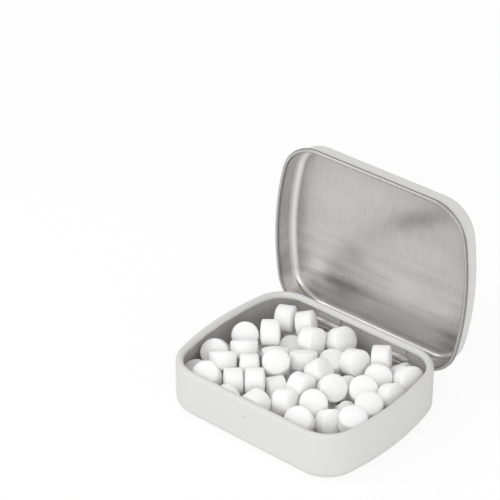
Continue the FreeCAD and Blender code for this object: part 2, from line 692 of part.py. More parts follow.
def mint_heap(volume):
    # The bottom layer starts in a spiral on the floor, as many as the tin has room for under the
    # top mints, which start at their own places
    half_length = size("lid_length") / 2 - size("fit_gap") - size("sheet")
    half_width = size("lid_width") / 2 - size("fit_gap") - size("sheet")
    room = 4 * half_length * half_width * (size("lid_top") - 2 * size("sheet"))
    count = max(0, round(heap_share * room / volume) - len(top_mint_shares))
    low = size("sheet") + size("mint_thickness") / 2
    chance = random.Random(chance_seed)
    bottom, top = [], []
    for number in range(count):
        out = spiral_share * math.sqrt((2 * number + 1) / (2 * count))
        turn = number * math.pi * (3 - math.sqrt(5))
        place = Vector(out * half_length * math.cos(turn), out * half_width * math.sin(turn), low)
        bottom.append(Mint(place, chance.uniform(0, size("bottom_lean")), chance.uniform(0, 360)))
    for along, across, high, tilt, heading in top_mint_shares:
        place = Vector(along * half_length, across * half_width, high * size("base_height"))
        top.append(Mint(place, tilt, heading, home=Vector(place)))
    settle(bottom + top)
    return bottom, top


shells = [base_shell(), lid_shell()]

# Each mint is a link to the one form, stood where the heap has it
form = mint_form()
bottom, top = mint_heap(form.Shape.Volume)


def place_mint(mint, label):
    link = doc.addObject("App::Link", label)
    link.Label = label
    link.LinkedObject = form
    link.Placement = Placement(mint.centre, Rotation(Vector(0, 0, 1), mint.axis))
    return link


mints = [place_mint(mint, f"mint_{number:02}") for number, mint in enumerate(top, start=1)]
layer = doc.addObject("Part::Compound", "mints_bottom_layer")
layer.Links = [place_mint(mint, f"bottom_mint_{number:02}") for number, mint in enumerate(bottom, start=1)]
doc.recompute()

pieces = {piece.Label: Part.getShape(piece) for piece in shells + mints + [layer]}
problems = [thing.Name for thing in doc.Objects if {"Invalid", "Error"} & set(thing.State)]
problems += [label for label, shape in pieces.items() if shape.isNull() or not shape.isValid()]
if problems:
    raise RuntimeError(f"these failed: {problems}")

os.makedirs("parts", exist_ok=True)
for label, shape in pieces.items():
    shape.exportStep(f"parts/{label}.step")
    print(label, len(shape.Solids), round(shape.Volume, 3))
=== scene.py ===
import bmesh
import bpy
import json
import math
import numpy as np
from mathutils import Matrix, Vector


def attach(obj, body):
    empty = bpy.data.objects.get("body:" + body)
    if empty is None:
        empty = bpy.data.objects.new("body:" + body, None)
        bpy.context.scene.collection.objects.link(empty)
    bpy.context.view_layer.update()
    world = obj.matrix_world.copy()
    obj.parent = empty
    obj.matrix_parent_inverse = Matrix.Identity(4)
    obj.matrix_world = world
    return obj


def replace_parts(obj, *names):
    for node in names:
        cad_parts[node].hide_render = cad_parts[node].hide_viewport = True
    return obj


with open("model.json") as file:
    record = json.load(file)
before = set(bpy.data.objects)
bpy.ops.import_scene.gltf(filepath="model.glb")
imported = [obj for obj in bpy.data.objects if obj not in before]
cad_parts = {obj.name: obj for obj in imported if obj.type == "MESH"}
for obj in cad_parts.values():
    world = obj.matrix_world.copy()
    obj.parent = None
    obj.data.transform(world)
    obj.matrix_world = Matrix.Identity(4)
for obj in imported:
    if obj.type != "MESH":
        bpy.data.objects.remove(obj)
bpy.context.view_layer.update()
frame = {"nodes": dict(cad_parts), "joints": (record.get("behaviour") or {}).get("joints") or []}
mm = .001
samePoint = 1e-6  # points nearer than this are merged
quarterTurn = math.pi / 2
noiseMiddle = .5
noiseSpan = (.3, .7)  # where most of a noise's values lie


class Wire:
    # One output of a node, which can stand in a sum
    def __init__(self, graph, socket):
        self.graph = graph
        self.socket = socket

    def maths(self, operation, *terms):
        return self.graph.node("ShaderNodeMath", {"operation": operation}, dict(enumerate(terms)))

    def act(self, operation, *others):
        return self.maths(operation, self, *others)

    def __add__(self, other):
        return self.maths("ADD", self, other)

    def __radd__(self, other):
        return self.maths("ADD", other, self)

    def __sub__(self, other):
        return self.maths("SUBTRACT", self, other)

    def __rsub__(self, other):
        return self.maths("SUBTRACT", other, self)

    def __mul__(self, other):
        return self.maths("MULTIPLY", self, other)

    def __rmul__(self, other):
        return self.maths("MULTIPLY", other, self)

    def __truediv__(self, other):
        return self.maths("DIVIDE", self, other)

    def __rtruediv__(self, other):
        return self.maths("DIVIDE", other, self)

    def __pow__(self, other):
        return self.maths("POWER", self, other)

    def __rpow__(self, other):
        return self.maths("POWER", other, self)

    def __lt__(self, other):
        return self.maths("LESS_THAN", self, other)

    def __gt__(self, other):
        return self.maths("GREATER_THAN", self, other)

    def __abs__(self):
        return self.maths("ABSOLUTE", self)


class Graph:
    # A node tree that is being built
    def __init__(self, tree):
        self.tree = tree

    def node(self, kind, settings=None, inputs=None, out=0):
        made = self.tree.nodes.new(kind)
        for name, value in (settings or {}).items():
            setattr(made, name, value)
        for name, value in (inputs or {}).items():
            self.feed(self.pick(made.inputs, name), value)
        outputs = [socket for socket in made.outputs if socket.enabled]
        return Wire(self, self.pick(made.outputs, out)) if outputs else made

    def pick(self, sockets, name):
        live = [socket for socket in sockets if socket.enabled]
        return live[name] if isinstance(name, int) else next(s for s in live if s.name == name)

    def feed(self, socket, value):
        for one in value if isinstance(value, list) else [value]:
            if isinstance(one, Wire):
                self.tree.links.new(one.socket, socket)
            else:
                socket.default_value = one


def parts(graph, place, letters="XYZ"):
    return [graph.node("ShaderNodeSeparateXYZ", {}, {"Vector": place}, letter) for letter in letters]


def geometryTree(name, given):
    # A geometry tree with named inputs, and wires to each of them
    tree = bpy.data.node_groups.new(name, "GeometryNodeTree")
    kinds = {float: "NodeSocketFloat", int: "NodeSocketInt", bpy.types.Material: "NodeSocketMaterial"}
    tree.interface.new_socket("Geometry", in_out="INPUT", socket_type="NodeSocketGeometry")
    tree.interface.new_socket("Geometry", in_out="OUTPUT", socket_type="NodeSocketGeometry")
    for label, kind in given.items():
        tree.interface.new_socket(label, in_out="INPUT", socket_type=kinds[kind])
    graph = Graph(tree)
    entry = tree.nodes.new("NodeGroupInput")
    wires = {socket.name: Wire(graph, socket) for socket in entry.outputs if socket.name}
    return graph, wires


def closeTree(graph, geometry, material):
    whole = graph.node("GeometryNodeRealizeInstances", {}, {"Geometry": geometry})
    coated = graph.node("GeometryNodeSetMaterial", {}, {"Geometry": whole, "Material": material})
    graph.node("NodeGroupOutput", {}, {"Geometry": coated})
    return graph.tree


def addTree(thing, tree, values):
    modifier = thing.modifiers.new("shape", "NODES")
    modifier.node_group = tree
    for item in tree.interface.items_tree:
        if item.in_out == "INPUT" and item.name in values:
            modifier[item.identifier] = values[item.name]


def newThing(name, mesh):
    thing = bpy.data.objects.new(name, mesh)
    bpy.context.scene.collection.objects.link(thing)
    return thing


def meshFrom(name, points, edges=(), faces=()):
    mesh = bpy.data.meshes.new(name)
    mesh.from_pydata(points, edges, faces)
    return mesh


def settle(thing):
    # The modifiers' result becomes the object's own plain mesh
    depsgraph = bpy.context.evaluated_depsgraph_get()
    mesh = bpy.data.meshes.new_from_object(thing.evaluated_get(depsgraph), depsgraph=depsgraph)
    thing.modifiers.clear()
    thing.data = mesh


def coat(thing, *materials):
    thing.data.materials.clear()
    for material in materials:
        thing.data.materials.append(material)
    thing.data.polygons.foreach_set("material_index", [0] * len(thing.data.polygons))


def soften(thing, edge):
    soft = thing.modifiers.new("soft", "BEVEL")
    soft.width = edge["width"]
    soft.segments = edge["segments"]
    soft.limit_method = "ANGLE"
    soft.angle_limit = math.radians(edge["angle"])


def smooth(thing, sharpAngle):
    thing.data.shade_smooth()
    thing.data.set_sharp_from_angle(angle=math.radians(sharpAngle))


def weld(thing, outward):
    # Merge what meets, and turn all faces so that the largest looks outward
    mesh = bmesh.new()
    mesh.from_mesh(thing.data)
    bmesh.ops.remove_doubles(mesh, verts=mesh.verts, dist=samePoint)
    bmesh.ops.recalc_face_normals(mesh, faces=mesh.faces)
    largest = max(mesh.faces, key=lambda face: face.calc_area())
    if largest.normal.dot(Vector(outward)) < 0:
        bmesh.ops.reverse_faces(mesh, faces=mesh.faces)
    mesh.to_mesh(thing.data)
    mesh.free()


# Sizes that several pieces share
sheet = .25 * mm
outline = {"length": 60 * mm, "width": 48.2 * mm, "bow": 78 * mm, "corner": 10.8 * mm,
           "baseInset": 1.25 * mm, "lidInset": .92 * mm,
           "cornerSteps": 26, "bowSteps": 30, "plainStep": 1.6 * mm, "clearShare": .45}
lidJoint = frame["joints"][0]
# runGap is between bar and knuckle, sideGap beside a strap or bar, windowGap above and below a knuckle
hinge = {"y": lidJoint["pos_m"][1], "z": lidJoint["pos_m"][2],
         "open": -math.radians(lidJoint["range_deg"][1]),
         "spacing": 20.7 * mm, "knuckle": 1.2 * mm, "strapWidth": 7.6 * mm, "anchor": .5 * mm,
         "runGap": .06 * mm, "sideGap": .3 * mm, "windowGap": .25 * mm}
window = {"half": hinge["strapWidth"] / 2 + hinge["sideGap"], "corner": .5 * mm,
          "low": hinge["z"] - hinge["knuckle"] - hinge["windowGap"],
          "high": hinge["z"] + hinge["knuckle"] + hinge["windowGap"]}
windowWidth = 2 * window["half"]
barWidth = windowWidth + 2 * hinge["anchor"]
notch = {"half": barWidth / 2 + hinge["sideGap"], "high": 8.35 * mm}
baseBack = outline["width"] / 2 - outline["baseInset"]
pivot = Vector((0, hinge["y"], hinge["z"]))
swing = Matrix.Translation(pivot) @ Matrix.Rotation(hinge["open"], 4, "X") @ Matrix.Translation(-pivot)


def outlineLoop(name, inset, frontStops, backStops):
    # The tin's outline: straight front and back, bowed ends, round corners
    corner = outline["corner"] - inset
    bow = outline["bow"] - inset
    half = outline["width"] / 2 - inset
    bowX = outline["length"] / 2 - outline["bow"]
    cornerY = half - corner
    cornerX = bowX + math.sqrt((bow - corner) ** 2 - cornerY ** 2)
    turn = math.atan2(cornerY, cornerX - bowX)
    steps = outline["cornerSteps"]
    bowSteps = outline["bowSteps"]

    def straight(stops):
        # Even points, left out where they come too near a stop
        clear = outline["clearShare"] * outline["plainStep"]
        even = np.linspace(-cornerX, cornerX, round(2 * cornerX / outline["plainStep"]) + 1)
        far = [x for x in even if min(abs(x - stop) for stop in stops) > clear]
        return sorted({*far, -cornerX, cornerX, *stops})

    def arc(x, y, radius, start, end, count):
        return [(x + radius * math.cos(a), y + radius * math.sin(a))
                for a in np.linspace(start, end, count + 1)[1:-1]]

    loop = [(x, -half) for x in straight(frontStops)]
    loop += arc(cornerX, -cornerY, corner, -quarterTurn, -turn, steps)
    loop += arc(bowX, 0, bow, -turn, turn, bowSteps)
    loop += arc(cornerX, cornerY, corner, turn, quarterTurn, steps)
    loop += [(x, half) for x in reversed(straight(backStops))]
    loop += arc(-cornerX, cornerY, corner, quarterTurn, math.pi - turn, steps)
    loop += arc(-bowX, 0, bow, math.pi - turn, math.pi + turn, bowSteps)
    loop += arc(-cornerX, -cornerY, corner, math.pi + turn, 3 * quarterTurn, steps)
    edges = [(i, (i + 1) % len(loop)) for i in range(len(loop))]
    return meshFrom(name, [(x, y, 0) for x, y in loop], edges)


def openingStops(half):
    # Where the outline has points for the two openings in the back wall
    centre = hinge["spacing"] / 2
    inner = half - window["corner"]
    stops = [centre - half, centre - inner, centre + inner, centre + half]
    return stops + [-x for x in stops]


def domeStops(columns):
    # Where the outline has points for the dome in the front wall
    return list(np.linspace(-columns["half"], columns["half"], columns["count"]))


trayLengths = ("Panel level", "Panel ring", "Panel crown", "Wall way", "Bend radius", "First break",
               "Second break", "Curl level", "Curl radius", "Curl way", "Curl tail", "Ragged",
               "Opening centre", "Opening half", "Opening low", "Opening high", "Opening corner",
               "Dome level", "Dome radius", "Dome rise")
trayRows = ("Panel rows", "Bend rows", "First rows", "Second rows", "Third rows", "Curl rows", "Tail rows")
trayDetail = {"ragged": {"Scale": 800., "Detail": 3.}, "onCorner": .01 * mm, "domePower": 1.5}


def trayTree():
    # A drawn tray: its wall section carried round the outline, and the panel that closes it
    sockets = {**dict.fromkeys(trayLengths, float), **dict.fromkeys(trayRows, int)}
    graph, given = geometryTree("drawnTray", {**sockets, "Paint": bpy.types.Material})
    level, way, bend = given["Panel level"], given["Wall way"], given["Bend radius"]
    curl, curlLevel, crown = given["Curl radius"], given["Curl level"], given["Panel crown"]
    inward = given["Curl way"]  # 1 rolls the edge in, -1 rolls it out

    def run(name, count, across, high):
        # One stretch of the section, by the share of the way along it, which is kept by name
        line = graph.node("GeometryNodeMeshLine", {}, {"Count": count, "Offset": (0, 0, 0)})
        share = graph.node("GeometryNodeInputIndex") / (count - 1)
        line = graph.node("GeometryNodeStoreNamedAttribute", {}, {
            "Geometry": line, "Name": name, "Value": share})
        place = graph.node("ShaderNodeCombineXYZ", {}, {"X": across(share), "Y": 0 - high(share)})
        return graph.node("GeometryNodeSetPosition", {}, {"Geometry": line, "Position": place})

    def climb(start, end):
        return lambda share: start + (end - start) * share

    def upright(share):
        return 0 * share

    border = level + way * crown
    foot = border + way * bend
    first, second = given["First break"], given["Second break"]
    runs = [
        run("panel", given["Panel rows"], climb(0 - given["Panel ring"], 0 - bend),
            lambda share: level + way * crown * share * share * (3 - 2 * share)),
        run("bend", given["Bend rows"], lambda share: bend * ((share * quarterTurn).act("SINE") - 1),
            lambda share: border + way * bend * (1 - (share * quarterTurn).act("COSINE"))),
        run("lowWall", given["First rows"], upright, climb(foot, first)),
        run("midWall", given["Second rows"], upright, climb(first, second)),
        run("highWall", given["Third rows"], upright, climb(second, curlLevel)),
        run("curl", given["Curl rows"], lambda share: inward * curl * ((share * math.pi).act("COSINE") - 1),
            lambda share: curlLevel + way * curl * (share * math.pi).act("SINE")),
        run("tail", given["Tail rows"], lambda share: upright(share) - 2 * inward * curl,
            lambda share: curlLevel - way * given["Curl tail"] * share),
    ]
    section = graph.node("GeometryNodeJoinGeometry", {}, {"Geometry": runs})
    section = graph.node("GeometryNodeMergeByDistance", {}, {"Geometry": section, "Distance": samePoint})
    section = graph.node("GeometryNodeMeshToCurve", {}, {"Mesh": section})
    rail = graph.node("GeometryNodeMeshToCurve", {}, {"Mesh": given["Geometry"]})
    rail = graph.node("GeometryNodeSetCurveNormal", {"mode": "Z_UP"}, {"Curve": rail})
    wall = graph.node("GeometryNodeCurveToMesh", {}, {"Curve": rail, "Profile Curve": section})

    # The cut end of the rolled edge is uneven
    place = graph.node("GeometryNodeInputPosition")
    rough = graph.node("ShaderNodeTexNoise", {}, {"Vector": place, **trayDetail["ragged"]}) - noiseMiddle
    tail = graph.node("GeometryNodeInputNamedAttribute", {}, {"Name": "tail"})
    drop = graph.node("ShaderNodeCombineXYZ", {}, {"Z": rough * tail * given["Ragged"]})
    wall = graph.node("GeometryNodeSetPosition", {}, {"Geometry": wall, "Offset": drop})

    # The panel inside the innermost row of the wall
    shrink = graph.node("ShaderNodeVectorMath", {"operation": "SCALE"}, {
        "Vector": graph.node("GeometryNodeInputNormal"), "Scale": 0 - given["Panel ring"]})
    edge = graph.node("GeometryNodeSetPosition", {}, {"Geometry": rail, "Offset": shrink})
    panel = graph.node("GeometryNodeFillCurve", {"mode": "NGONS"}, {"Curve": edge})
    lift = graph.node("ShaderNodeCombineXYZ", {}, {"Z": level})
    panel = graph.node("GeometryNodeSetPosition", {}, {"Geometry": panel, "Offset": lift})
    tray = graph.node("GeometryNodeJoinGeometry", {}, {"Geometry": [wall, panel]})
    tray = graph.node("GeometryNodeMergeByDistance", {}, {"Geometry": tray, "Distance": samePoint})

    # Two openings in the back wall, with their corners eased
    x, y, z = parts(graph, place)
    side = abs(x) - given["Opening centre"]
    low, high, half = given["Opening low"], given["Opening high"], given["Opening half"]
    inside = (abs(side) < half) * (z > low) * (z < high) * (y > 0)
    tray = graph.node("GeometryNodeDeleteGeometry", {"domain": "FACE"}, {
        "Geometry": tray, "Selection": inside})
    middle = (low + high) / 2
    onSide = abs(abs(side) - half) < trayDetail["onCorner"]
    onEnd = abs(abs(z - middle) - (high - low) / 2) < trayDetail["onCorner"]
    ease = given["Opening corner"] * (1 - math.sqrt(1 / 2))
    nudge = graph.node("ShaderNodeCombineXYZ", {}, {
        "X": 0 - x.act("SIGN") * side.act("SIGN") * ease, "Z": 0 - (z - middle).act("SIGN") * ease})
    tray = graph.node("GeometryNodeSetPosition", {}, {
        "Geometry": tray, "Selection": onSide * onEnd * (y > 0), "Offset": nudge})

    # A round dome pressed out of the front wall
    far = (x * x + (z - given["Dome level"]) ** 2).act("SQRT") / given["Dome radius"]
    swell = (1 - far * far).act("MAXIMUM", 0) ** trayDetail["domePower"] * given["Dome rise"]
    push = graph.node("ShaderNodeCombineXYZ", {}, {"Y": 0 - swell})
    tray = graph.node("GeometryNodeSetPosition", {}, {"Geometry": tray, "Selection": y < 0, "Offset": push})
    return closeTree(graph, tray, given["Paint"])


def pairTree():
    # One hinge's piece, set down on both sides of the tin's middle
    graph, given = geometryTree("hingePair", {"Spacing": float, "Finish": bpy.types.Material})
    gap = graph.node("ShaderNodeCombineXYZ", {}, {"X": given["Spacing"]})
    start = graph.node("ShaderNodeCombineXYZ", {}, {"X": given["Spacing"] / -2})
    points = graph.node("GeometryNodeMeshLine", {}, {"Count": 2, "Start Location": start, "Offset": gap})
    pair = graph.node("GeometryNodeInstanceOnPoints", {}, {"Points": points, "Instance": given["Geometry"]})
    return closeTree(graph, pair, given["Finish"])


mintRows = {"Vertices": 56, "Side Segments": 3, "Fill Segments": 8}
mintEndShare = .49  # points past this share of the band's width are on a face


def mintTree():
    # Pressed mints, each a round band between two shallow domes, one on every point
    graph, given = geometryTree("mintHeap", {
        "Diameter": float, "Band": float, "Dome": float, "Seed": int, "Chalk": bpy.types.Material})
    radius, band, dome = given["Diameter"] / 2, given["Band"], given["Dome"]
    form = graph.node("GeometryNodeMeshCylinder", {"fill_type": "TRIANGLE_FAN"}, {
        **mintRows, "Radius": radius, "Depth": band})
    x, y, z = parts(graph, graph.node("GeometryNodeInputPosition"))
    ball = (radius * radius + dome * dome) / (2 * dome)
    rise = (ball * ball - x * x - y * y).act("SQRT") - (ball - dome)
    lift = graph.node("ShaderNodeCombineXYZ", {}, {"Z": z.act("SIGN") * rise})
    form = graph.node("GeometryNodeSetPosition", {}, {
        "Geometry": form, "Selection": abs(z) > band * mintEndShare, "Offset": lift})

    # Each lies along its own axis, turned about that by chance
    axis = graph.node("GeometryNodeInputNamedAttribute", {"data_type": "FLOAT_VECTOR"}, {"Name": "axis"})
    lean = graph.node("FunctionNodeAlignRotationToVector", {"axis": "Z"}, {"Vector": axis})
    turn = graph.node("FunctionNodeRandomValue", {}, {"Min": 0., "Max": 2 * math.pi, "Seed": given["Seed"]})
    spin = graph.node("FunctionNodeAxisAngleToRotation", {}, {"Axis": (0, 0, 1), "Angle": turn})
    whole = graph.node("FunctionNodeRotateRotation", {"rotation_space": "LOCAL"}, {
        "Rotation": lean, "Rotate By": spin})
    heap = graph.node("GeometryNodeInstanceOnPoints", {}, {
        "Points": given["Geometry"], "Instance": form, "Rotation": whole})
    tone = graph.node("FunctionNodeRandomValue", {}, {"Min": 0., "Max": 1., "Seed": given["Seed"] + 1})
    heap = graph.node("GeometryNodeStoreNamedAttribute", {"domain": "INSTANCE"}, {
        "Geometry": heap, "Name": "tone", "Value": tone})
    return closeTree(graph, heap, given["Chalk"])


def newMaterial(name):
    material = bpy.data.materials.new(name)
    material.use_nodes = True
    material.node_tree.nodes.clear()
    return material, Graph(material.node_tree)


def closeMaterial(graph, shader):
    graph.node("ShaderNodeOutputMaterial", {}, {"Surface": shader})


def objectPlace(graph):
    return graph.node("ShaderNodeTexCoord", {}, {}, "Object")


def noise(graph, scale=1., stretch=(1, 1, 1), detail=2.):
    mapped = graph.node("ShaderNodeMapping", {}, {"Vector": objectPlace(graph), "Scale": stretch})
    return graph.node("ShaderNodeTexNoise", {}, {"Vector": mapped, "Scale": scale, "Detail": detail})


def blend(graph, share, first, second):
    return graph.node("ShaderNodeMix", {"data_type": "RGBA"}, {"Factor": share, "A": first, "B": second})


def span(graph, value, low, high, start=0., end=1.):
    return graph.node("ShaderNodeMapRange", {}, {
        "Value": value, "From Min": low, "From Max": high, "To Min": start, "To Max": end})


def attribute(graph, name):
    return graph.node("ShaderNodeAttribute", {"attribute_name": name}, {}, "Fac")


def bump(graph, given, height):
    return graph.node("ShaderNodeBump", {}, {
        "Strength": given["bump"], "Distance": given["depth"], "Height": height})


# One dark colour serves both the grains under the paint and the painted shadow beside the pip
enamel = {"shade": (.65, .648, .64, 1), "light": (.68, .678, .67, 1), "worn": (.35, .34, .33, 1),
          "smooth": .58, "dull": .68, "gloss": .35, "bump": .05, "depth": .12 * mm,
          "clouds": {"scale": 90., "detail": 3.}, "peel": {"scale": 1500.},
          "grains": {"scale": 700., "detail": 1.}, "grainSpan": (.74, .8), "grainShare": .2,
          "rubX": -.35 * mm, "rubZ": 8.75 * mm, "rubSize": .5 * mm, "rubFront": -20 * mm, "rubShare": .5}


def paintMaterial():
    # White enamel over the outside, with a faint orange peel
    material, graph = newMaterial("whitePaint")
    clouds = noise(graph, **enamel["clouds"])
    colour = blend(graph, clouds, enamel["shade"], enamel["light"])
    # Painted shadow below and left of the pip, and a few grains under the paint
    x, y, z = parts(graph, objectPlace(graph))
    far = (x - enamel["rubX"]) ** 2 + (z - enamel["rubZ"]) ** 2
    pipShadow = span(graph, far, enamel["rubSize"] ** 2, 0) * (y < enamel["rubFront"])
    grains = span(graph, noise(graph, **enamel["grains"]), *enamel["grainSpan"])
    specksAndShadow = (pipShadow * enamel["rubShare"] + grains * enamel["grainShare"]).act("MINIMUM", 1)
    colour = blend(graph, specksAndShadow, colour, enamel["worn"])
    closeMaterial(graph, graph.node("ShaderNodeBsdfPrincipled", {}, {
        "Base Color": colour, "Specular IOR Level": enamel["gloss"],
        "Roughness": span(graph, clouds, *noiseSpan, enamel["smooth"], enamel["dull"]),
        "Normal": bump(graph, enamel, noise(graph, **enamel["peel"]))}))
    return material


# Bare tinplate: its grain runs from hinge to front, and its rolled edge has a painted highlight on its pale
# crest and painted shade on its darker sides
rolled = {"grain": {"stretch": (2600, 400, 260), "detail": 3.}, "depth": .04 * mm,
          "clouds": {"stretch": (60, 60, 110), "detail": 3.},
          "curlSpan": (.02, .1), "crestAt": .5, "crestSpan": (.08, .26)}
# In both tins, crest and edge colour the rolled edge's painted highlight and painted shade; in brushed tin
# the palest colour is the shoulder's painted highlight
brushed = {**rolled, "dark": (.3, .285, .276, 1), "pale": (.68, .663, .65, 1), "tones": (.45, .75),
           "crest": (.5, .49, .48, 1), "edge": (.24, .23, .225, 1), "bright": (.92, .9, .89, 1),
           "smooth": .26, "dull": .38, "metal": .6, "bump": .12}
dulled = {**rolled, "dark": (.54, .52, .51, 1), "pale": (.76, .74, .725, 1), "tones": (.3, .8),
          "crest": (.6, .58, .57, 1), "edge": (.5, .48, .47, 1),
          "smooth": .36, "dull": .5, "metal": .45, "bump": .15}


def rolledSheet(graph, given):
    # The sheet's fine grain, its soft clouds, and how pale the two make it
    grain = noise(graph, **given["grain"])
    clouds = noise(graph, **given["clouds"])
    return grain, clouds, span(graph, (clouds + grain) / 2, *noiseSpan, *given["tones"])


def rolledEdge(graph, given, colour, above=0):
    # The rolled edge, with a painted highlight on its crest, which is paler than its sides, darkened as
    # painted shade; a line above it may take that painted shade too
    curl = attribute(graph, "curl")
    aside = span(graph, abs(curl - given["crestAt"]), *given["crestSpan"])
    paintedRollShading = blend(graph, aside, given["crest"], given["edge"])
    return blend(graph, (span(graph, curl, *given["curlSpan"]) + above).act("MINIMUM", 1), colour, paintedRollShading)


def closeTin(graph, given, colour, metal, grain, clouds):
    closeMaterial(graph, graph.node("ShaderNodeBsdfPrincipled", {}, {
        "Base Color": colour, "Metallic": metal, "Normal": bump(graph, given, grain),
        "Roughness": span(graph, clouds, *noiseSpan, given["smooth"], given["dull"])}))


def dullTinMaterial():
    material, graph = newMaterial("dullTin")
    grain, clouds, share = rolledSheet(graph, dulled)
    colour = rolledEdge(graph, dulled, blend(graph, share, dulled["dark"], dulled["pale"]))
    closeTin(graph, dulled, colour, dulled["metal"], grain, clouds)
    return material


# Painted reflections on the lid's panel: soft patches, with their places on the open lid and how much paler
# they are, darker where below zero
paintedReflections = [
    {"x": 10.3 * mm, "z": 43 * mm, "long": 11 * mm, "wide": 2.6 * mm, "lean": 29, "tone": -.55},
    {"x": -9.1 * mm, "z": 25.3 * mm, "long": 4 * mm, "wide": 3 * mm, "lean": 0, "tone": -.25},
    {"x": -11.5 * mm, "z": 14.8 * mm, "long": 8 * mm, "wide": 2.6 * mm, "lean": 4, "tone": -.5},
    {"x": 23 * mm, "z": 14 * mm, "long": 3 * mm, "wide": 3.5 * mm, "lean": 0, "tone": -.35},
    {"x": 9 * mm, "z": 29 * mm, "long": 20 * mm, "wide": 7 * mm, "lean": 8, "tone": .25},
    {"x": 9 * mm, "z": 15 * mm, "long": 19 * mm, "wide": 6 * mm, "lean": 0, "tone": .4},
    {"x": -20 * mm, "z": 17.6 * mm, "long": 4 * mm, "wide": 2.6 * mm, "lean": 20, "tone": .4},
    {"x": 8 * mm, "z": 20 * mm, "long": 14 * mm, "wide": 2.4 * mm, "lean": 3, "tone": .3}]
# The panel's painted reflections: how they are warped and where their streaks lie
panelLook = {"warp": {"scale": 130.}, "warpBy": 5 * mm,
             "streaks": {"stretch": (36, 60, 380), "detail": 3.}, "streakSpan": (34 * mm, 16 * mm),
             # The panel's border is darkened as painted shade, and the skirt made paler as painted light
             "streakTone": 1.5, "borderSpan": (.84, .97), "borderEnd": .2, "borderTone": .3,
             "skirtEnd": .2, "skirtTone": .16}
# The shoulder's painted highlight: its middle and half width on the bend, what changes on the hinge side,
# and the painted shade of its foot there
shoulderLook = {"hingeSpan": (13 * mm, 10 * mm), "middle": .5, "half": .5, "shift": .25, "narrow": .27,
                "dim": .3, "strength": .9, "metalLoss": .6,
                "footSpan": (.4, .48), "footWall": .1, "footWallShare": .6, "footTone": .9}


def panelTone(graph, share, x, z):
    # Painted reflections: streaks across the panel's lower part, and the soft patches
    look = panelLook
    streaks = (noise(graph, **look["streaks"]) - noiseMiddle) * span(graph, z, *look["streakSpan"])
    share = share + streaks * look["streakTone"]
    for reflectionPatch in paintedReflections:
        lean = math.radians(reflectionPatch["lean"])
        aside, above = x - reflectionPatch["x"], z - reflectionPatch["z"]
        along = (aside * math.cos(lean) + above * math.sin(lean)) / reflectionPatch["long"]
        across = (above * math.cos(lean) - aside * math.sin(lean)) / reflectionPatch["wide"]
        share = share + (0 - along * along - across * across).act("EXPONENT") * reflectionPatch["tone"]
    return share


def brushedTinMaterial():
    material, graph = newMaterial("brushedTin")
    grain, clouds, share = rolledSheet(graph, brushed)
    warp = (noise(graph, **panelLook["warp"]) - noiseMiddle) * panelLook["warpBy"]
    x, z = (part + warp for part in parts(graph, objectPlace(graph), "XZ"))
    share = panelTone(graph, share, x, z)

    # Painted shade round the panel's border, and painted light that makes the skirt paler
    look = panelLook
    panel, bend, wall = (attribute(graph, name) for name in ("panel", "bend", "lowWall"))
    share = share + span(graph, wall, 0, look["skirtEnd"]) * look["skirtTone"]
    border = span(graph, panel, *look["borderSpan"]) * (1 - span(graph, bend, 0, look["borderEnd"]))
    share = share - border * look["borderTone"]

    # Painted highlight: the shoulder gleams, on the hinge side in a narrow line above its foot, which is
    # darkened as painted shade; where it gleams away from the hinge side the metal is lessened, so the
    # highlight shows paler
    look = shoulderLook
    low = span(graph, z, *look["hingeSpan"])
    off = (bend - (look["middle"] - look["shift"] * low)) / (look["half"] - look["narrow"] * low)
    paintedGleam = (1 - off * off).act("MAXIMUM", 0) * (1 - look["dim"] * low) * look["strength"]
    footWall = span(graph, wall, 0, look["footWall"]) * look["footWallShare"]
    share = share - low * (span(graph, bend, *look["footSpan"]) + footWall) * look["footTone"]
    colour = blend(graph, share, brushed["dark"], brushed["pale"])
    colour = blend(graph, paintedGleam, colour, brushed["bright"])
    # The skirt's middle stretch, just above the bead, gets the bead's dark side colour as a painted shade
    # line
    colour = rolledEdge(graph, brushed, colour, attribute(graph, "midWall"))
    metal = brushed["metal"] * (1 - paintedGleam * (1 - low) * look["metalLoss"])
    closeTin(graph, brushed, colour, metal, grain, clouds)
    return material


sugar = {"shade": (.905, .905, .897, 1), "light": (.925, .925, .917, 1), "toneSpan": (.2, .8), "rough": .75,
         "grain": {"scale": 3200., "detail": 3.}, "clouds": {"scale": 260.}, "bump": .25, "depth": .08 * mm,
         "scatter": 1., "scatterTint": (1., 1., .95), "scatterDepth": 2.5 * mm}


def mintMaterial():
    # Pressed sugar: dull, chalky white with a fine grain
    material, graph = newMaterial("pressedMint")
    mixed = (noise(graph, **sugar["clouds"]) + attribute(graph, "tone")) / 2
    colour = blend(graph, span(graph, mixed, *sugar["toneSpan"]), sugar["shade"], sugar["light"])
    closeMaterial(graph, graph.node("ShaderNodeBsdfPrincipled", {}, {
        "Base Color": colour, "Roughness": sugar["rough"],
        "Normal": bump(graph, sugar, noise(graph, **sugar["grain"])),
        "Subsurface Weight": sugar["scatter"], "Subsurface Radius": sugar["scatterTint"],
        "Subsurface Scale": sugar["scatterDepth"]}))
    return material


paint, chalk = paintMaterial(), mintMaterial()
tin, dullTin = brushedTinMaterial(), dullTinMaterial()
print("materials made")

drawnTray, hingePair, mintHeap = trayTree(), pairTree(), mintTree()
traySharpAngle = 42


def makeTray(name, loop, values, outward, inner):
    # The swept sheet, painted outside, given its thickness, which leaves bare metal inside
    thing = newThing(name, loop)
    addTree(thing, drawnTray, {**values, "Paint": paint})
    settle(thing)
    weld(thing, outward)
    coat(thing, paint, inner)
    wall = thing.modifiers.new("wall", "SOLIDIFY")
    wall.thickness = sheet
    wall.offset = -1
    wall.material_offset = 1
    wall.material_offset_rim = 1
    settle(thing)
    smooth(thing, traySharpAngle)
    return thing


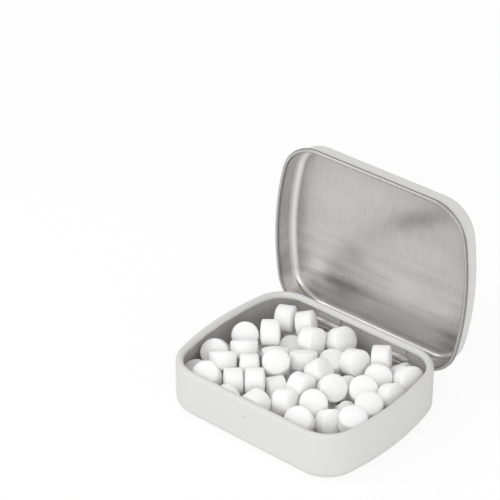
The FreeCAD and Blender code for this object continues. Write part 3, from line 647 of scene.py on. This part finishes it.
baseTray = {"Panel level": 0., "Panel ring": 5 * mm, "Panel crown": 0., "Panel rows": 4, "Wall way": 1.,
            "Bend radius": 2.5 * mm, "Bend rows": 10, "First break": window["low"], "First rows": 8,
            "Second break": window["high"], "Second rows": 30, "Third rows": 29,
            "Curl level": 12.25 * mm, "Curl radius": .95 * mm, "Curl way": 1., "Curl rows": 22,
            "Curl tail": .3 * mm, "Tail rows": 4, "Ragged": .5 * mm,
            "Opening centre": hinge["spacing"] / 2, "Opening half": window["half"],
            "Opening low": window["low"], "Opening high": window["high"],
            "Opening corner": window["corner"],
            "Dome level": 9.3 * mm, "Dome radius": .85 * mm, "Dome rise": .3 * mm}
pipColumns = {"half": 1 * mm, "count": 19}
baseStops = domeStops(pipColumns), openingStops(window["half"])
baseLoop = outlineLoop("baseLoop", outline["baseInset"], *baseStops)
base = makeTray("baseTray", baseLoop, baseTray, (0, 0, -1), dullTin)
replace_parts(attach(base, "base"), "base_shell")

lidTray = {"Panel level": 13.8 * mm, "Panel ring": 8 * mm, "Panel crown": .05 * mm, "Panel rows": 14,
           "Wall way": -1., "Bend radius": 1.7 * mm, "Bend rows": 12, "First break": notch["high"],
           "First rows": 22, "Second break": 8.1 * mm, "Second rows": 3, "Third rows": 3,
           "Curl level": 7.98 * mm, "Curl radius": .325 * mm, "Curl way": -1., "Curl rows": 16,
           "Curl tail": .15 * mm, "Tail rows": 3, "Ragged": 0.,
           "Opening centre": hinge["spacing"] / 2, "Opening half": notch["half"],
           "Opening low": 0., "Opening high": notch["high"], "Opening corner": 0.,
           "Dome level": 10.2 * mm, "Dome radius": 2.2 * mm, "Dome rise": .36 * mm}
dentColumns = {"half": 2.4 * mm, "count": 25}
lidStops = domeStops(dentColumns), openingStops(notch["half"])
lidLoop = outlineLoop("lidLoop", outline["lidInset"], *lidStops)
lid = makeTray("lidTray", lidLoop, lidTray, (0, 0, 1), tin)
lid.data.transform(swing)
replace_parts(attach(lid, "lid"), "lid_shell")
print("trays made", len(base.data.polygons), len(lid.data.polygons))

stripEdge = {"width": .05 * mm, "segments": 2, "angle": 50}
stripColumns = 9
stripSharpAngle = 35


def bent(name, path, form, finish, closed=False):
    # A strip that follows a path seen from the tin's end, once for each hinge
    across = np.linspace(-form["width"] / 2, form["width"] / 2, stripColumns)
    points = [(x, y, z) for x in across for y, z in path]
    row = len(path)
    faces = []
    for i in range(stripColumns - 1):
        for j in range(row if closed else row - 1):
            a = i * row + j
            b = i * row + (j + 1) % row
            faces.append((a, b, b + row, a + row))
    thing = newThing(name, meshFrom(name, points, (), faces))
    weld(thing, (0, 0, 1))
    wall = thing.modifiers.new("wall", "SOLIDIFY")
    wall.thickness = form["thick"]
    wall.offset = -1
    wall.use_even_offset = True
    soften(thing, stripEdge)
    addTree(thing, hingePair, {"Spacing": hinge["spacing"], "Finish": finish})
    settle(thing)
    coat(thing, finish)
    smooth(thing, stripSharpAngle)
    return thing


def ring(y, z, radius, start, end, steps):
    angles = np.linspace(math.radians(start), math.radians(end), steps + 1)
    return [(y + radius * math.cos(a), z + radius * math.sin(a)) for a in angles]


def hoop(y, z, radius, steps):
    return ring(y, z, radius, 0, 360, steps)[:-1]


barForm = {"radius": hinge["knuckle"] - sheet - hinge["runGap"], "steps": 40,
           "width": barWidth, "thick": sheet}
barPath = hoop(hinge["y"], hinge["z"], barForm["radius"], barForm["steps"])
bars = bent("hingeBars", barPath, barForm, dullTin, True)
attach(bars, "base")

lipForm = {"radius": .3 * mm, "steps": 20, "width": windowWidth, "thick": .2 * mm}
lipLevel = window["low"] - lipForm["radius"] / 2
lipPath = hoop(baseBack - sheet, lipLevel, lipForm["radius"], lipForm["steps"])
lips = bent("windowLips", lipPath, lipForm, dullTin, True)
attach(lips, "base")

flatForm = {"rise": .12 * mm, "gap": .4 * mm, "rows": 8, "width": windowWidth}
flatForm["thick"] = sheet + flatForm["rise"]
flatTop = baseTray["Curl level"] - baseTray["Curl tail"]
flatLevels = np.linspace(window["high"] + flatForm["gap"], flatTop, flatForm["rows"])
flatPath = [(baseBack - flatForm["thick"], level) for level in flatLevels]
flats = bent("pressedFlats", flatPath, flatForm, dullTin)
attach(flats, "base")

# The strap leaves the skirt, bends out over the rolled edge, here in millimetres, and is rolled round
# the bar; what lies inside bareBack and below bareTop is bare tin
strapForm = {"width": hinge["strapWidth"], "thick": sheet, "mouth": 50, "steps": 40,
             "bend": [(23.2, 12), (23.45, 11.7), (23.5, 11.2), (23.62, 10.4), (24.05, 9.3),
                      (24.22, 8.8), (24.3, 8.3), (24.3, 7.9), (24.3, 7.5)],
             "bareBack": 24 * mm, "bareTop": 8.6 * mm}
strapPath = [(y * mm, z * mm) for y, z in strapForm["bend"]]
strapPath += ring(hinge["y"], hinge["z"], hinge["knuckle"], 360, strapForm["mouth"], strapForm["steps"])
straps = bent("hingeStraps", strapPath, strapForm, paint)
straps.data.materials.append(dullTin)
for face in straps.data.polygons:
    bare = face.center.y < strapForm["bareBack"] and face.center.z < strapForm["bareTop"]
    face.material_index = 1 if bare else 0
straps.data.transform(swing)
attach(straps, "lid")
print("hinges made")


def islands(mesh):
    # The faces of each closed skin in a mesh, in the mesh's own order
    mesh.faces.index_update()
    left = set(mesh.faces)
    for first in mesh.faces:
        if first not in left:
            continue
        left.discard(first)
        island = set()
        reach = [first]
        while reach:
            face = reach.pop()
            island.add(face)
            found = {other for edge in face.edges for other in edge.link_faces} & left
            left -= found
            reach += found
        yield sorted(island, key=lambda face: face.index)


def mintPlace(faces):
    # A mint's centre, and its axis, which is the way that its skin spreads least
    middles = np.array([face.calc_center_median() for face in faces])
    areas = np.array([[face.calc_area()] for face in faces])
    centre = (middles * areas).sum(0) / areas.sum()
    spread = middles - centre
    ways = np.linalg.eigh((spread * areas).T @ spread)[1]
    return centre, ways[:, 0]


def mintPlaces(nodes):
    places = []
    for node in nodes:
        mesh = bmesh.new()
        mesh.from_mesh(frame["nodes"][node].data)
        bmesh.ops.remove_doubles(mesh, verts=mesh.verts, dist=samePoint)
        places += [mintPlace(island) for island in islands(mesh)]
        mesh.free()
    return places


mintSizes = {"Diameter": 7 * mm, "Band": 4.2 * mm, "Dome": .5 * mm, "Seed": 4, "Chalk": chalk}
mintEdge = {"width": .34 * mm, "segments": 4, "angle": 45}
mintSharpAngle = 60


def makeMints(name, nodes):
    places = mintPlaces(nodes)
    points = meshFrom(name, [centre for centre, way in places])
    axes = points.attributes.new("axis", "FLOAT_VECTOR", "POINT")
    axes.data.foreach_set("vector", np.array([way for centre, way in places], np.float32).ravel())
    thing = newThing(name, points)
    addTree(thing, mintHeap, mintSizes)
    soften(thing, mintEdge)
    settle(thing)
    coat(thing, chalk)
    smooth(thing, mintSharpAngle)
    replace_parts(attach(thing, "base"), *nodes)
    print(name, len(places), len(thing.data.polygons))


makeMints("mintsTop", sorted(name for name in frame["nodes"] if name.startswith("mint_")))
makeMints("mintsBottom", ["mints_bottom_layer"])


def seenDirectly(graph):
    # One for what the camera, a reflection or clear stuff shows, none for the light on the object
    rays = ("Is Camera Ray", "Is Glossy Ray", "Is Transmission Ray")
    first, second, third = (graph.node("ShaderNodeLightPath", {}, {}, ray) for ray in rays)
    return (first + second + third).act("MINIMUM", 1)


# Stage: a pale floor, an even surround and two soft lamps
stage = {"floorHalf": 6, "floorDrop": .02 * mm, "floorTone": (.95, .95, .95, 1), "floorRough": .9,
         "floorWhite": .85, "surround": .76}
floorMaterial, graph = newMaterial("paleFloor")
lit = graph.node("ShaderNodeBsdfPrincipled", {}, {
    "Base Color": stage["floorTone"], "Roughness": stage["floorRough"]})
white = graph.node("ShaderNodeEmission", {}, {"Strength": 1.})
closeMaterial(graph, graph.node("ShaderNodeMixShader", {}, {
    0: seenDirectly(graph) * stage["floorWhite"], 1: lit, 2: white}))
corners = [(x * stage["floorHalf"], y * stage["floorHalf"], -stage["floorDrop"])
           for x, y in ((-1, -1), (1, -1), (1, 1), (-1, 1))]
floor = newThing("floor", meshFrom("floor", corners, (), [(0, 1, 2, 3)]))
floor.data.materials.append(floorMaterial)

world = bpy.data.worlds.new("surround")
world.use_nodes = True
world.node_tree.nodes.clear()
graph = Graph(world.node_tree)
strength = stage["surround"] + (1 - stage["surround"]) * seenDirectly(graph)
surround = graph.node("ShaderNodeBackground", {}, {"Color": (1, 1, 1, 1), "Strength": strength})
graph.node("ShaderNodeOutputWorld", {}, {"Surface": surround})
bpy.context.scene.world = world

lamps = {"key": {"place": (-.437, -.428, .515), "power": 1.25, "size": .28},
         "fill": {"place": (.464, -.547, .455), "power": 2., "size": .5}}
for name, given in lamps.items():
    light = bpy.data.lights.new(name, "AREA")
    light.energy = given["power"]
    light.size = given["size"]
    lamp = newThing(name, light)
    lamp.location = given["place"]
    lamp.rotation_euler = Vector(given["place"]).to_track_quat("Z", "Y").to_euler()

# Camera: how far round and up it stands, its focal length in pixels, how far off it is, where the
# tin's origin lies from the middle of the picture, in pixels, and its sensor in millimetres
view = {"turn": math.radians(40.306), "tilt": math.radians(32.353), "focus": 2194.3, "far": 546.55 * mm,
        "across": 53.8, "down": 153.2, "pixels": 500, "sensor": 36}
level = math.cos(view["tilt"])
back = Vector((math.sin(view["turn"]) * level, -math.cos(view["turn"]) * level, math.sin(view["tilt"])))
right = Vector((math.cos(view["turn"]), math.sin(view["turn"]), 0))
up = back.cross(right)
lens = bpy.data.cameras.new("camera")
lens.sensor_width = view["sensor"]
lens.lens = view["focus"] / view["pixels"] * view["sensor"]
camera = newThing("camera", lens)
camera.matrix_world = Matrix((right, up, back)).transposed().to_4x4()
camera.location = view["far"] * (back + (up * view["down"] - right * view["across"]) / view["focus"])
bpy.context.scene.camera = camera
bpy.context.scene.view_settings.view_transform = "Standard"
print("stage made")
